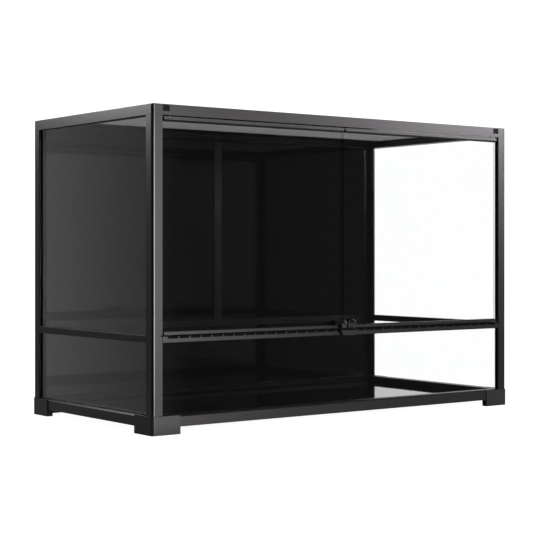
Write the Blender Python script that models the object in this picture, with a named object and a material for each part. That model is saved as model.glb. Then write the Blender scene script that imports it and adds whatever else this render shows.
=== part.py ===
"""Front-opening glass terrarium in a black aluminium frame, at its real size.

Metres, +Z up, front towards -Y. The origin lies on the floor under the middle of the frame.
Sections are drawn as (u, v): u inwards from the frame's outer face, v upwards from the rail's underside.
"""

import math

import bmesh
import bpy
from mathutils import Vector

# Frame
WIDTH = 0.9144
DEPTH = 0.4572
HEIGHT = 0.606
BAR = 0.0225
WALL = 0.0018
EDGE = 0.0008
POST_LEG = 0.010
CORNER_ROUND = 0.005
ROUND_STEPS = 6
SEAT = 0.0003
MITRE_GAP = 0.0003

# Base frame
BASE_LIFT = 0.0135
BASE_HEIGHT = 0.0213
BASE_CHAMFER = 0.003
BASE_TOP = BASE_LIFT + BASE_HEIGHT

# Top frame, with the ledge that the lid lies on
TOP_HEIGHT = 0.020
TOP_Z = HEIGHT - TOP_HEIGHT
LEDGE = 0.0085
REBATE = 0.015

# Middle rails
MID_Z = 0.1685
MID_HEIGHT = 0.0138
MID_DEPTH = 0.0125
MID_GROOVE = 0.005
MID_TOP = MID_Z + MID_HEIGHT
TONGUE_PLAY = 0.0002
TONGUE_ROOT = 0.002

# Vented front middle rail
SILL_DEPTH = 0.018
SILL_THICKNESS = 0.001
SILL_BLOCK = 0.0063
SILL_GROOVE = 0.0045
VENT_PITCH = 0.025
VENT_END = 0.0095
VENT_RIB = 0.0028
VENT_SLANT = 0.0024
VENT_HEIGHT = 0.0052
SCREEN_THICKNESS = 0.0005
SCREEN_END_GAP = 0.0064

# Panes and panels
GLASS = 0.004
SETBACK = 0.0045
GROOVE = 0.006
FLOOR_THICKNESS = 0.005
FLOOR_Z = 0.0175
JOINT_WIDTH = 0.020
JOINT_FLANGE = 0.0015
JOINT_WEB = 0.002

# Corner feet and the keys hidden in the top corners
FOOT_PROUD = 0.0018
FOOT_LENGTH = 0.062
FOOT_LEG = 0.0128
SPIGOT_PLAY = 0.0009
SPIGOT_RISE = 0.030
SPIGOT_ROOT = 0.002
KEY_LEG = 0.050
KEY_PLUG = 0.028

# Doors
STRIP_SETBACK = 0.0015
STRIP_HEIGHT = 0.0063
STRIP_GRIP = 0.0048
STRIP_BACK_WALL = 0.0018
DOOR_SETBACK = 0.008
DOOR_SIDE_GAP = 0.0037
DOOR_MEET_GAP = 0.0046
DOOR_TOP_GAP = 0.0026
DOOR_SILL_GAP = 0.0006
PIVOT_INSET = 0.013
PIVOT_SETBACK = 0.0048
PIN_RADIUS = 0.0018
PIN_PLAY = 0.0001
PIN_GRIP = 0.0042
TOP_PIN_RISE = 0.0075
STOP_HALF = 0.015
STOP_DEPTH = 0.003
STOP_HEIGHT = 0.0064

# Lock on the right door, its keeper on the front middle rail, and the pull on the left door
LOCK_X = 0.011
LOCK_RISE = 0.0067
CASE_RADIUS = 0.0118
CASE_PROUD = 0.0078
CASE_WALL = 0.0042
POCKET_RADIUS = 0.0109
BARREL_RADIUS = 0.0052
BARREL_PLAY = 0.0001
BARREL_PROUD = 0.0012
BARREL_CHAMFER = 0.0006
STUB_RADIUS = 0.0025
CAM_LENGTH = 0.0104
CAM_WIDTH = 0.0062
CAM_THICKNESS = 0.0016
SCREW_RADIUS = 0.0011
SCREW_HEAD_RADIUS = 0.004
SCREW_HEAD = 0.0013
SCREW_LENGTH = 0.0034
KEYWAY_LENGTH = 0.007
KEYWAY_WIDTH = 0.0014
KEYWAY_DEPTH = 0.003
KEEPER_LEFT = -0.0165
KEEPER_RIGHT = 0.0255
KEEPER_THICKNESS = 0.0075
KEEPER_DROP = 0.0007
KEEPER_ROUND_LEFT = 0.009
KEEPER_ROUND_RIGHT = 0.005
KEEPER_REACH = 0.0038
PULL_LEFT = -0.0325
PULL_LEG_LEFT = -0.0165
PULL_RIGHT = -0.0024
PULL_HEIGHT = 0.0092
PULL_PROUD = 0.0078
PULL_ROUND = 0.0006

# Lid with its mesh
LID_PLAY = 0.0006
LID_HEIGHT = 0.0102
MESH_THICKNESS = 0.0012
MESH_DROP = 0.0047
MESH_GRIP = 0.0033
MESH_BORDER = 0.006
PLATE_REACH = 0.073
PLATE_THICKNESS = 0.0016
PLATE_PLAY = 0.0002
PLATE_ROOT = 0.001
MESH_STRAND = 0.0025
MESH_GAPS_X = 20
MESH_GAPS_Y = 9

# Sliding lid locks in the front top rail
BOLT_INSET = 0.0302
BOLT_RISE = 0.0126
BOLT_WIDTH = 0.014
BOLT_HEIGHT = 0.0104
BOLT_PROUD = 0.0008
BOLT_HEAD = 0.006
BOLT_STEM_WIDTH = 0.006
BOLT_STEM_HEIGHT = 0.005
BOLT_END = 0.0149
BOLT_POCKET = 0.0025

# Places that follow from the sizes above
GROOVE_NEAR = SETBACK - SEAT
GROOVE_FAR = SETBACK + GLASS + SEAT
GROOVE_FLOOR = BAR - GROOVE
PANE_EDGE = GROOVE_FLOOR + SEAT
CORE_NEAR = GROOVE_FAR + WALL
CORE_FAR = BAR - WALL
POST_CORE = (WALL + EDGE, POST_LEG - WALL, GROOVE_FLOOR - WALL)
SPIGOT_NEAR = POST_CORE[0] + SPIGOT_PLAY
SPIGOT_INNER = POST_CORE[1] - SPIGOT_PLAY
SPIGOT_FAR = POST_CORE[2] - SPIGOT_PLAY
VENT_COUNT = math.floor((WIDTH - 2 * BAR - 2 * VENT_END) / VENT_PITCH)
SCREEN_HALF = WIDTH / 2 - BAR - SCREEN_END_GAP
STRIP_BACK = DOOR_SETBACK + GLASS + SEAT + STRIP_BACK_WALL
STRIP_OUTER = WIDTH / 2 - BAR - DOOR_SIDE_GAP
STRIP_INNER = DOOR_MEET_GAP / 2
STRIP_FOOT_Z = MID_TOP + DOOR_SILL_GAP
STRIP_HEAD_Z = TOP_Z - DOOR_TOP_GAP - STRIP_HEIGHT
PIVOT_X = STRIP_OUTER - PIVOT_INSET
PIVOT_Y = PIVOT_SETBACK - DEPTH / 2
LOCK_Z = MID_TOP + LOCK_RISE
POCKET_BACK = CASE_WALL - CASE_PROUD
CAM_FRONT = POCKET_BACK + SEAT
CAM_BACK = CAM_FRONT + CAM_THICKNESS
LID_OUTER = REBATE + LID_PLAY
LID_INNER = BAR - SEAT
LID_Z = TOP_Z + LEDGE + SEAT
MESH_EDGE = LID_INNER - MESH_GRIP + SEAT
MESH_Z = HEIGHT - MESH_DROP
BOLT_Z = TOP_Z + BOLT_RISE

X_AXIS = Vector((1, 0, 0))
Y_AXIS = Vector((0, 1, 0))
Z_AXIS = Vector((0, 0, 1))
OUTWARD = {"front": -Y_AXIS, "back": Y_AXIS, "left": -X_AXIS, "right": X_AXIS}
CORNERS = {
    "front_left": (-1, -1),
    "front_right": (1, -1),
    "back_left": (-1, 1),
    "back_right": (1, 1),
}


def clear_scene():
    for obj in list(bpy.data.objects):
        bpy.data.objects.remove(obj, do_unlink=True)


def make_material(name, colour, roughness, metallic=0.0, alpha=1.0):
    material = bpy.data.materials.new(name)
    material.use_nodes = True
    shader = material.node_tree.nodes["Principled BSDF"]
    shader.inputs["Base Color"].default_value = (*colour, 1.0)
    shader.inputs["Roughness"].default_value = roughness
    shader.inputs["Metallic"].default_value = metallic
    shader.inputs["Alpha"].default_value = alpha
    return material


def add_solid(name, bm, material, smooth=False):
    """Puts the finished mesh into the scene as one named sub-part."""
    bmesh.ops.recalc_face_normals(bm, faces=bm.faces)
    mesh = bpy.data.meshes.new(name)
    bm.to_mesh(mesh)
    bm.free()
    mesh.materials.append(material)
    if smooth:
        mesh.shade_smooth()
        mesh.set_sharp_from_angle(angle=math.radians(35))
    obj = bpy.data.objects.new(name, mesh)
    bpy.context.scene.collection.objects.link(obj)
    return obj


def add_guide(name, bm):
    """A cutter or an added shape, which is never a sub-part itself."""
    bmesh.ops.recalc_face_normals(bm, faces=bm.faces)
    mesh = bpy.data.meshes.new(name)
    bm.to_mesh(mesh)
    bm.free()
    obj = bpy.data.objects.new(name, mesh)
    bpy.context.scene.collection.objects.link(obj)
    obj.hide_render = True
    obj.display_type = "WIRE"
    return obj


def combine(obj, guide, operation):
    modifier = obj.modifiers.new(guide.name, "BOOLEAN")
    modifier.operation = operation
    modifier.solver = "EXACT"
    modifier.object = guide


def swept(loops, origin, u_axis, v_axis, run):
    """Solid swept along run from flat outlines: the outer one first, then its chambers."""
    bm = bmesh.new()
    for loop in loops:
        corners = [bm.verts.new(origin + u_axis * u + v_axis * v) for u, v in loop]
        for i, corner in enumerate(corners):
            bm.edges.new((corners[i - 1], corner))
    bmesh.ops.triangle_fill(bm, use_beauty=True, edges=bm.edges)
    far_end = bmesh.ops.extrude_face_region(bm, geom=bm.faces)["geom"]
    far_corners = [part for part in far_end if isinstance(part, bmesh.types.BMVert)]
    bmesh.ops.translate(bm, verts=far_corners, vec=run)
    bmesh.ops.recalc_face_normals(bm, faces=bm.faces)
    return bm


def cut_off(bm, point, normal):
    """Takes away what lies beyond a plane and closes the cut."""
    everything = bm.verts[:] + bm.edges[:] + bm.faces[:]
    cut = bmesh.ops.bisect_plane(
        bm, geom=everything, dist=1e-7, plane_co=point, plane_no=normal, clear_outer=True
    )
    rim = [part for part in cut["geom_cut"] if isinstance(part, bmesh.types.BMEdge)]
    if rim:
        bmesh.ops.triangle_fill(bm, use_beauty=True, edges=rim)


def add_box(bm, low, high):
    size = Vector(high) - Vector(low)
    made = bmesh.ops.create_cube(bm, size=1)
    bmesh.ops.scale(bm, verts=made["verts"], vec=size)
    bmesh.ops.translate(bm, verts=made["verts"], vec=(Vector(low) + Vector(high)) / 2)


def box(low, high):
    bm = bmesh.new()
    add_box(bm, low, high)
    return bm


def turned(profile, origin, axis, steps=32):
    """Solid of revolution from (radius, height) points that start and end on the axis."""
    side = axis.orthogonal().normalized()
    bm = bmesh.new()
    points = [bm.verts.new(origin + side * r + axis * h) for r, h in profile]
    edges = [bm.edges.new(pair) for pair in zip(points, points[1:])]
    bmesh.ops.spin(
        bm, geom=points + edges, cent=origin, axis=axis, angle=math.tau, steps=steps
    )
    bmesh.ops.remove_doubles(bm, verts=bm.verts, dist=1e-6)
    return bm


def cylinder(radius, start, end, steps=24):
    run = end - start
    profile = [(0, 0), (radius, 0), (radius, run.length), (0, run.length)]
    return turned(profile, start, run.normalized(), steps)


def rounding(radius, centre):
    """Points of a quarter round on an outer corner, from the v side to the u side."""
    angles = [math.pi / 2 * step / ROUND_STEPS for step in range(ROUND_STEPS + 1)]
    return [
        (centre - radius * math.cos(angle), centre - radius * math.sin(angle))
        for angle in angles
    ]


def face_point(side, along, inward, z):
    """A point given by its place along a side of the frame and its depth behind that side."""
    out = OUTWARD[side]
    if side in ("front", "back"):
        return Vector((along, out.y * (DEPTH / 2 - inward), z))
    return Vector((out.x * (WIDTH / 2 - inward), along, z))


def corner_point(signs, u, v, z):
    """A point given by its distances inwards from the two faces that meet at a corner."""
    return Vector((signs[0] * (WIDTH / 2 - u), signs[1] * (DEPTH / 2 - v), z))


def corner_box(signs, near, far, z_low, z_high):
    a = corner_point(signs, near, near, z_low)
    b = corner_point(signs, far, far, z_high)
    low = [min(pair) for pair in zip(a, b)]
    high = [max(pair) for pair in zip(a, b)]
    return box(low, high)


def corner_sweep(signs, loops, z_low, z_high):
    u_axis = Vector((-signs[0], 0, 0))
    v_axis = Vector((0, -signs[1], 0))
    return swept(loops, corner_point(signs, 0, 0, z_low), u_axis, v_axis, Z_AXIS * (z_high - z_low))


def side_box(side, along, inward, heights):
    """A box from ranges along a side of the frame, behind it, and in height."""
    a = face_point(side, along[0], inward[0], heights[0])
    b = face_point(side, along[1], inward[1], heights[1])
    low = [min(pair) for pair in zip(a, b)]
    high = [max(pair) for pair in zip(a, b)]
    return low, high


def rail_sweep(side, loops, z, half_length):
    along = X_AXIS if side in ("front", "back") else Y_AXIS
    start = face_point(side, -half_length, 0, z)
    return swept(loops, start, -OUTWARD[side], Z_AXIS, along * (2 * half_length))


def half_length_of(side):
    return WIDTH / 2 if side in ("front", "back") else DEPTH / 2


def mitred_rail(side, loops, z, rounded):
    """A rail whose ends are cut on the corner's diagonal and, where asked, rounded like the posts."""
    bm = rail_sweep(side, loops, z, half_length_of(side))
    for signs in CORNERS.values():
        out = OUTWARD[side]
        if signs[0] * out.x < 0 or signs[1] * out.y < 0:
            continue
        away = Vector((signs[0], -signs[1], 0)).normalized()
        if side in ("left", "right"):
            away = -away
        cut_off(bm, corner_point(signs, 0, 0, z) - away * MITRE_GAP / 2, away)
        if rounded:
            round_off(bm, signs, z)
    return bm


def round_off(bm, signs, z):
    arc = rounding(CORNER_ROUND, CORNER_ROUND)
    for (u0, v0), (u1, v1) in zip(arc, arc[1:]):
        middle = Vector((CORNER_ROUND - (u0 + u1) / 2, CORNER_ROUND - (v0 + v1) / 2, 0))
        normal = Vector((signs[0] * middle.x, signs[1] * middle.y, 0)).normalized()
        cut_off(bm, corner_point(signs, u0, v0, z), normal)


def post_section():
    """L-shaped post: two legs, each with a groove in its end, round one L-shaped chamber."""
    outer = rounding(CORNER_ROUND, CORNER_ROUND)
    outer += [
        (BAR - EDGE, 0),
        (BAR, EDGE),
        (BAR, GROOVE_NEAR),
        (GROOVE_FLOOR, GROOVE_NEAR),
        (GROOVE_FLOOR, GROOVE_FAR),
        (BAR, GROOVE_FAR),
        (BAR, POST_LEG),
        (POST_LEG, POST_LEG),
        (POST_LEG, BAR),
        (GROOVE_FAR, BAR),
        (GROOVE_FAR, GROOVE_FLOOR),
        (GROOVE_NEAR, GROOVE_FLOOR),
        (GROOVE_NEAR, BAR),
        (EDGE, BAR),
        (0, BAR - EDGE),
    ]
    return [outer, angle_loop(*POST_CORE)]


def angle_loop(near, inner, far):
    """An L round the corner, between the depths near and inner, with its ends at far."""
    return [(near, near), (far, near), (far, inner), (inner, inner), (inner, far), (near, far)]


def base_section():
    floor_low = FLOOR_Z - SEAT - BASE_LIFT
    floor_high = FLOOR_Z + FLOOR_THICKNESS + SEAT - BASE_LIFT
    outer = [
        (0, 0),
        (BAR, 0),
        (BAR, floor_low),
        (GROOVE_FLOOR, floor_low),
        (GROOVE_FLOOR, floor_high),
        (BAR, floor_high),
        (BAR, BASE_HEIGHT),
        (GROOVE_FAR, BASE_HEIGHT),
        (GROOVE_FAR, BASE_HEIGHT - GROOVE),
        (GROOVE_NEAR, BASE_HEIGHT - GROOVE),
        (GROOVE_NEAR, BASE_HEIGHT),
        (BASE_CHAMFER, BASE_HEIGHT),
        (0, BASE_HEIGHT - BASE_CHAMFER),
    ]
    chamber = [
        (WALL, WALL),
        (GROOVE_FLOOR - WALL, WALL),
        (GROOVE_FLOOR - WALL, floor_high + WALL),
        (CORE_FAR, floor_high + WALL),
        (CORE_FAR, BASE_HEIGHT - WALL),
        (CORE_NEAR, BASE_HEIGHT - WALL),
        (CORE_NEAR, BASE_HEIGHT - GROOVE - WALL),
        (WALL, BASE_HEIGHT - GROOVE - WALL),
    ]
    return [outer, chamber]


def top_section(grooved):
    """The front rail hangs the doors and has no groove; the other three hold a pane in one."""
    groove = [
        (GROOVE_FAR, 0),
        (GROOVE_FAR, GROOVE),
        (GROOVE_NEAR, GROOVE),
        (GROOVE_NEAR, 0),
    ]
    outer = [
        (0, 0),
        (0, TOP_HEIGHT - EDGE),
        (EDGE, TOP_HEIGHT),
        (REBATE, TOP_HEIGHT),
        (REBATE, LEDGE),
        (BAR, LEDGE),
        (BAR, 0),
    ]
    chamber = [
        (WALL, TOP_HEIGHT - WALL),
        (REBATE - WALL, TOP_HEIGHT - WALL),
        (REBATE - WALL, LEDGE - WALL),
        (CORE_FAR, LEDGE - WALL),
        (CORE_FAR, WALL),
    ]
    if not grooved:
        return [outer, chamber + [(WALL, WALL)]]
    roof = GROOVE + WALL
    return [outer + groove, chamber + [(CORE_NEAR, WALL), (CORE_NEAR, roof), (WALL, roof)]]


def mid_section():
    return [
        [
            (0, EDGE),
            (EDGE, 0),
            (GROOVE_NEAR, 0),
            (GROOVE_NEAR, MID_GROOVE),
            (GROOVE_FAR, MID_GROOVE),
            (GROOVE_FAR, 0),
            (MID_DEPTH, 0),
            (MID_DEPTH, MID_HEIGHT),
            (GROOVE_FAR, MID_HEIGHT),
            (GROOVE_FAR, MID_HEIGHT - MID_GROOVE),
            (GROOVE_NEAR, MID_HEIGHT - MID_GROOVE),
            (GROOVE_NEAR, MID_HEIGHT),
            (EDGE, MID_HEIGHT),
            (0, MID_HEIGHT - EDGE),
        ]
    ]


def vented_section():
    under_sill = MID_HEIGHT - SILL_THICKNESS
    return [
        [
            (0, EDGE),
            (EDGE, 0),
            (GROOVE_NEAR, 0),
            (GROOVE_NEAR, SILL_GROOVE),
            (GROOVE_FAR, SILL_GROOVE),
            (GROOVE_FAR, 0),
            (MID_DEPTH, 0),
            (MID_DEPTH, SILL_BLOCK),
            (WALL, SILL_BLOCK),
            (WALL, under_sill),
            (SILL_DEPTH, under_sill),
            (SILL_DEPTH, MID_HEIGHT),
            (0, MID_HEIGHT),
        ]
    ]


def strip_section(head):
    """U-shaped door strip that grips the pane's edge; the head strip opens downwards."""
    grip_floor = STRIP_HEIGHT - STRIP_GRIP
    outline = [
        (STRIP_SETBACK, 0),
        (STRIP_BACK, 0),
        (STRIP_BACK, STRIP_HEIGHT),
        (DOOR_SETBACK + GLASS + SEAT, STRIP_HEIGHT),
        (DOOR_SETBACK + GLASS + SEAT, grip_floor),
        (DOOR_SETBACK - SEAT, grip_floor),
        (DOOR_SETBACK - SEAT, STRIP_HEIGHT),
        (STRIP_SETBACK + EDGE, STRIP_HEIGHT),
        (STRIP_SETBACK, STRIP_HEIGHT - EDGE),
    ]
    if head:
        outline = [(u, STRIP_HEIGHT - v) for u, v in outline]
    return [outline]


def build_feet(plastic):
    """L-shaped corner foot: a pad, a skirt round the rails and an L-shaped spigot up into the post."""
    length = FOOT_LENGTH - FOOT_PROUD
    leg = FOOT_LEG - FOOT_PROUD
    pad = rounding(CORNER_ROUND + FOOT_PROUD, CORNER_ROUND) + [
        (length, -FOOT_PROUD),
        (length, leg),
        (leg, leg),
        (leg, length),
        (-FOOT_PROUD, length),
    ]
    inner_round = rounding(CORNER_ROUND + SEAT, CORNER_ROUND)
    skirt = rounding(CORNER_ROUND + FOOT_PROUD, CORNER_ROUND)
    skirt += [(length, -FOOT_PROUD), (length, -SEAT)]
    skirt += inner_round[::-1]
    skirt += [(-SEAT, length), (-FOOT_PROUD, length)]
    pad_top = BASE_LIFT - SEAT
    spigot_loop = angle_loop(SPIGOT_NEAR, SPIGOT_INNER, SPIGOT_FAR)
    for name, signs in CORNERS.items():
        foot = add_solid(f"corner_foot_{name}", corner_sweep(signs, [pad], 0, pad_top), plastic)
        wall = corner_sweep(signs, [skirt], pad_top - SPIGOT_ROOT, BASE_TOP)
        combine(foot, add_guide(f"skirt_{name}", wall), "UNION")
        spigot = corner_sweep(
            signs, [spigot_loop], pad_top - SPIGOT_ROOT, BASE_TOP + SPIGOT_RISE
        )
        combine(foot, add_guide(f"spigot_{name}", spigot), "UNION")


def build_base_rails(aluminium):
    rails = {
        side: add_solid(f"base_rail_{side}", mitred_rail(side, base_section(), BASE_LIFT, True), aluminium)
        for side in OUTWARD
    }
    hole_loop = angle_loop(SPIGOT_NEAR - SEAT, SPIGOT_INNER + SEAT, SPIGOT_FAR + SEAT)
    for name, signs in CORNERS.items():
        hole = corner_sweep(signs, [hole_loop], BASE_LIFT - SEAT, BASE_TOP + SEAT)
        cutter = add_guide(f"base_hole_{name}", hole)
        for side in name.split("_"):
            combine(rails[side], cutter, "DIFFERENCE")


def build_posts(aluminium):
    for name, signs in CORNERS.items():
        post = corner_sweep(signs, post_section(), BASE_TOP + SEAT, TOP_Z - SEAT)
        add_solid(f"post_{name}", post, aluminium)


def build_top_rails(aluminium):
    rails = {
        side: add_solid(
            f"top_rail_{side}", mitred_rail(side, top_section(side != "front"), TOP_Z, True), aluminium
        )
        for side in OUTWARD
    }
    for name, signs in CORNERS.items():
        hole = corner_box(
            signs, SPIGOT_NEAR - SEAT, SPIGOT_FAR + SEAT, TOP_Z - WALL, TOP_Z + LEDGE - WALL + SEAT
        )
        cutter = add_guide(f"top_hole_{name}", hole)
        for side in name.split("_"):
            combine(rails[side], cutter, "DIFFERENCE")
    return rails


def build_corner_keys(plastic):
    """Three-way keys: two legs along the rails' chambers, and a hub with a plug down into the post."""
    near = CORE_NEAR + SEAT
    far = CORE_FAR - SEAT
    legs = [
        (near, near),
        (KEY_LEG, near),
        (KEY_LEG, far),
        (far, far),
        (far, KEY_LEG),
        (near, KEY_LEG),
    ]
    low = TOP_Z + WALL + SEAT
    high = TOP_Z + LEDGE - WALL - SEAT
    plug_loop = angle_loop(SPIGOT_NEAR, SPIGOT_INNER, SPIGOT_FAR)
    for name, signs in CORNERS.items():
        key = add_solid(f"corner_key_{name}", corner_sweep(signs, [legs], low, high), plastic)
        hub = corner_box(signs, SPIGOT_NEAR, SPIGOT_FAR, low, high)
        combine(key, add_guide(f"hub_{name}", hub), "UNION")
        plug = corner_sweep(signs, [plug_loop], TOP_Z - KEY_PLUG, low + SPIGOT_ROOT)
        combine(key, add_guide(f"plug_{name}", plug), "UNION")


def build_mid_rails(aluminium):
    rails = {}
    for side in OUTWARD:
        section = vented_section() if side == "front" else mid_section()
        half = half_length_of(side) - BAR - SEAT
        rails[side] = add_solid(f"mid_rail_{side}", rail_sweep(side, section, MID_Z, half), aluminium)
        combine(rails[side], add_guide(f"tongues_{side}", rail_tongues(side, half)), "UNION")
    combine(rails["front"], add_guide("vent_slots", vent_slots()), "DIFFERENCE")
    return rails


def rail_tongues(side, half):
    """End tongues that slide into the posts' grooves between the upper and lower panes."""
    low = MID_GROOVE + TONGUE_PLAY
    high = MID_HEIGHT - MID_GROOVE - TONGUE_PLAY
    if side == "front":
        low = SILL_GROOVE + TONGUE_PLAY
        high = MID_HEIGHT - SILL_THICKNESS / 2
    bm = bmesh.new()
    tip = half_length_of(side) - PANE_EDGE
    for end in (-1, 1):
        low_corner, high_corner = side_box(
            side,
            (end * (half - TONGUE_ROOT), end * tip),
            (SETBACK, SETBACK + GLASS),
            (MID_Z + low, MID_Z + high),
        )
        add_box(bm, low_corner, high_corner)
    return bm


def vent_slots():
    """One slanted slot for each vent, cut through the rail's front wall."""
    bm = bmesh.new()
    top = MID_TOP - SILL_THICKNESS
    half = (VENT_PITCH - VENT_RIB) / 2
    for i in range(VENT_COUNT):
        centre = (i - (VENT_COUNT - 1) / 2) * VENT_PITCH
        low_corner, high_corner = side_box(
            "front", (centre - half, centre + half), (-WALL, WALL + SEAT), (top - VENT_HEIGHT, top)
        )
        made = bmesh.ops.create_cube(bm, size=1)
        size = Vector(high_corner) - Vector(low_corner)
        middle = (Vector(low_corner) + Vector(high_corner)) / 2
        for vert in made["verts"]:
            lean = VENT_SLANT * vert.co.z
            vert.co = middle + Vector((vert.co.x * size.x + lean, vert.co.y * size.y, vert.co.z * size.z))
    return bm


def build_vent_screen(steel):
    low, high = side_box(
        "front",
        (-SCREEN_HALF, SCREEN_HALF),
        (WALL + SEAT, WALL + SEAT + SCREEN_THICKNESS),
        (MID_Z + SILL_BLOCK + SEAT, MID_TOP - SILL_THICKNESS - SEAT),
    )
    add_solid("vent_screen", box(low, high), steel)


def build_pane(name, side, along, heights, material):
    low, high = side_box(side, along, (SETBACK, SETBACK + GLASS), heights)
    add_solid(name, box(low, high), material)


def build_panels(glass, black):
    """Fixed panes in the frame's grooves, the black back panels and the floor."""
    lower = (BASE_TOP - GROOVE + SEAT, MID_Z + MID_GROOVE - SEAT)
    upper = (MID_TOP - MID_GROOVE + SEAT, TOP_Z + GROOVE - SEAT)
    across = WIDTH / 2 - PANE_EDGE
    deep = DEPTH / 2 - PANE_EDGE
    front_heights = (lower[0], MID_Z + SILL_GROOVE - SEAT)
    build_pane("front_lower_glass", "front", (-across, across), front_heights, glass)
    for side in ("left", "right"):
        build_pane(f"{side}_lower_glass", side, (-deep, deep), lower, glass)
        build_pane(f"{side}_upper_glass", side, (-deep, deep), upper, glass)
    build_pane("back_lower_panel", "back", (-across, across), lower, black)
    web = JOINT_WEB / 2 + SEAT
    build_pane("back_upper_panel_left", "back", (-across, -web), upper, black)
    build_pane("back_upper_panel_right", "back", (web, across), upper, black)
    build_floor(across, deep, black)


def build_floor(across, deep, black):
    """Floor panel, held by its edges in the base rails' lower grooves."""
    floor = box((-across, -deep, FLOOR_Z), (across, deep, FLOOR_Z + FLOOR_THICKNESS))
    add_solid("floor_panel", floor, black)


def build_back_joint(aluminium):
    """H-shaped upright that joins the two upper back panels."""
    web = JOINT_WEB / 2
    half = JOINT_WIDTH / 2
    depths = (
        GROOVE_NEAR - JOINT_FLANGE,
        GROOVE_NEAR,
        GROOVE_FAR,
        GROOVE_FAR + JOINT_FLANGE,
    )
    outline = [
        (-half, depths[0]),
        (half, depths[0]),
        (half, depths[1]),
        (web, depths[1]),
        (web, depths[2]),
        (half, depths[2]),
        (half, depths[3]),
        (-half, depths[3]),
        (-half, depths[2]),
        (-web, depths[2]),
        (-web, depths[1]),
        (-half, depths[1]),
    ]
    start = MID_TOP + SEAT
    rise = Z_AXIS * (TOP_Z - SEAT - start)
    strip = swept([outline], face_point("back", 0, 0, start), X_AXIS, -Y_AXIS, rise)
    add_solid("back_joint_strip", strip, aluminium)


def door_side(end):
    return "left" if end < 0 else "right"


def strip_sweep(end, head, z):
    start = face_point("front", end * STRIP_INNER, 0, z)
    run = X_AXIS * (end * (STRIP_OUTER - STRIP_INNER))
    return swept(strip_section(head), start, Y_AXIS, Z_AXIS, run)


def build_door(end, aluminium, glass, steel, mid_front, top_front):
    """One frameless pane between two strips that turn on pins in the rails above and below it."""
    side = door_side(end)
    head = add_solid(f"{side}_door_head_strip", strip_sweep(end, True, STRIP_HEAD_Z), aluminium)
    foot = add_solid(f"{side}_door_foot_strip", strip_sweep(end, False, STRIP_FOOT_Z), aluminium)
    low, high = side_box(
        "front",
        (end * STRIP_INNER, end * STRIP_OUTER),
        (DOOR_SETBACK, DOOR_SETBACK + GLASS),
        (STRIP_FOOT_Z + STRIP_HEIGHT - STRIP_GRIP + SEAT, STRIP_HEAD_Z + STRIP_GRIP - SEAT),
    )
    pane = add_solid(f"{side}_door_glass", box(low, high), glass)

    pivot = Vector((end * PIVOT_X, PIVOT_Y, 0))
    bore = PIN_RADIUS + PIN_PLAY
    head_bore = STRIP_HEAD_Z + STRIP_HEIGHT - PIN_GRIP
    cutter = cylinder(bore, pivot + Z_AXIS * (head_bore - SEAT), pivot + Z_AXIS * (TOP_Z + WALL + SEAT))
    head_cutter = add_guide(f"{side}_head_bore", cutter)
    combine(head, head_cutter, "DIFFERENCE")
    combine(top_front, head_cutter, "DIFFERENCE")
    head_pin = cylinder(PIN_RADIUS, pivot + Z_AXIS * head_bore, pivot + Z_AXIS * (TOP_Z + TOP_PIN_RISE))
    head_pin = add_solid(f"{side}_door_head_pin", head_pin, steel, smooth=True)

    foot_bore = STRIP_FOOT_Z + PIN_GRIP
    under_sill = MID_TOP - SILL_THICKNESS - SEAT
    cutter = cylinder(bore, pivot + Z_AXIS * under_sill, pivot + Z_AXIS * (foot_bore + SEAT))
    foot_cutter = add_guide(f"{side}_foot_bore", cutter)
    combine(foot, foot_cutter, "DIFFERENCE")
    combine(mid_front, foot_cutter, "DIFFERENCE")
    foot_pin_z = MID_Z + SILL_BLOCK + SEAT
    foot_pin = cylinder(PIN_RADIUS, pivot + Z_AXIS * foot_pin_z, pivot + Z_AXIS * foot_bore)
    foot_pin = add_solid(f"{side}_door_foot_pin", foot_pin, steel, smooth=True)
    return [head, foot, pane, head_pin, foot_pin]


def build_door_stop(plastic):
    """Block on the sill behind the middle, which the two closed doors lean against."""
    low, high = side_box(
        "front",
        (-STOP_HALF, STOP_HALF),
        (STRIP_BACK + SEAT, STRIP_BACK + SEAT + STOP_DEPTH),
        (MID_TOP + SEAT, MID_TOP + SEAT + STOP_HEIGHT),
    )
    add_solid("door_stop", box(low, high), plastic)


def clipped_disc(radius, floor_z):
    """Round outline in the front plane, cut flat at floor_z."""
    start = math.asin((floor_z - LOCK_Z) / radius)
    sweep = math.pi - 2 * start
    steps = 28
    return [
        (
            LOCK_X + radius * math.cos(start + sweep * i / steps),
            LOCK_Z + radius * math.sin(start + sweep * i / steps),
        )
        for i in range(steps + 1)
    ]


def front_sweep(outline, front, back):
    """Outline in X and Z, swept between two depths behind the frame's front face."""
    start = face_point("front", 0, front, 0)
    return swept([outline], start, X_AXIS, Z_AXIS, Y_AXIS * (back - front))


def lock_cylinder(radius, front, back, steps=48):
    start = face_point("front", LOCK_X, front, LOCK_Z)
    end = face_point("front", LOCK_X, back, LOCK_Z)
    return cylinder(radius, start, end, steps)


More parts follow.
